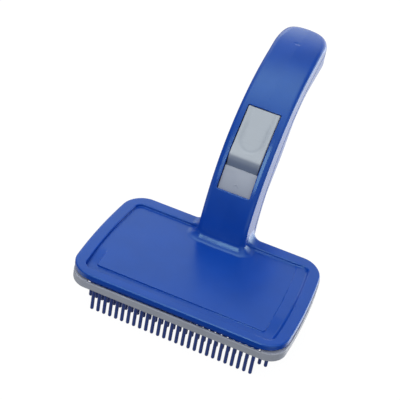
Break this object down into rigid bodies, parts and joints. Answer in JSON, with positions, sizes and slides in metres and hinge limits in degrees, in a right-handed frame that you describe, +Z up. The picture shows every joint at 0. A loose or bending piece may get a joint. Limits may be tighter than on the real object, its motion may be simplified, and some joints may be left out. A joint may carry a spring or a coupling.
{
  "type": "self-cleaning pet brush",
  "caption": "Pet brush with an arched handle and rows of rounded pins; a thumb slide pushes a slotted plate along the pins to strip off the collected hair.",
  "frame": {"origin": "under the middle of the whole brush, on the plane of the pin tips that it stands on", "axes": "+X along the long side of the head to the right, +Y from the front of the head towards the end of the handle, +Z up, away from the pin tips"},
  "size_m": [0.1212, 0.168, 0.1093],
  "materials": {
    "blue_shell": "glossy moulded blue",
    "navy_pins": "smooth moulded dark blue",
    "grey_plate": "satin grey",
    "pale_button": "satin pale grey",
    "grey_strip": "satin mid grey",
    "steel": "bright zinc"
  },
  "bodies": {
    "brush_body": {"body_shell": "blue_shell", "handle_cover": "blue_shell", "comb_carrier": "blue_shell", "pin_comb_1": "navy_pins", "pin_comb_2": "navy_pins", "pin_comb_3": "navy_pins", "pin_comb_4": "navy_pins", "pin_comb_5": "navy_pins", "pin_comb_6": "navy_pins", "pin_comb_7": "navy_pins", "pin_comb_8": "navy_pins", "carrier_screws": "steel", "cover_screws": "steel", "return_springs": "steel"},
    "slider": {"slide_button": "pale_button", "slide_strip": "grey_strip", "drive_pin": "steel", "button_screws": "steel"},
    "stripper": {"stripper_plate": "grey_plate", "spring_washers": "steel", "spring_screws": "steel"}
  },
  "joints": [
    {"name": "button_slide", "type": "hinge", "parent": "brush_body", "child": "slider", "pos_m": [0, 0.07203, 0.0133], "axis": [1, 0, 0], "range_deg": [0, 7.5]},
    {"name": "plate_slide", "type": "slide", "parent": "brush_body", "child": "stripper", "axis": [0, 0, -1], "range_m": [0, 0.0111], "stiffness_N_per_m": 150, "springref_m": -0.006, "deforming": ["return_springs"]}
  ],
  "couplings": [
    {"joint": "plate_slide", "follows": "button_slide", "m_per_rad": 0.084753}
  ]
}
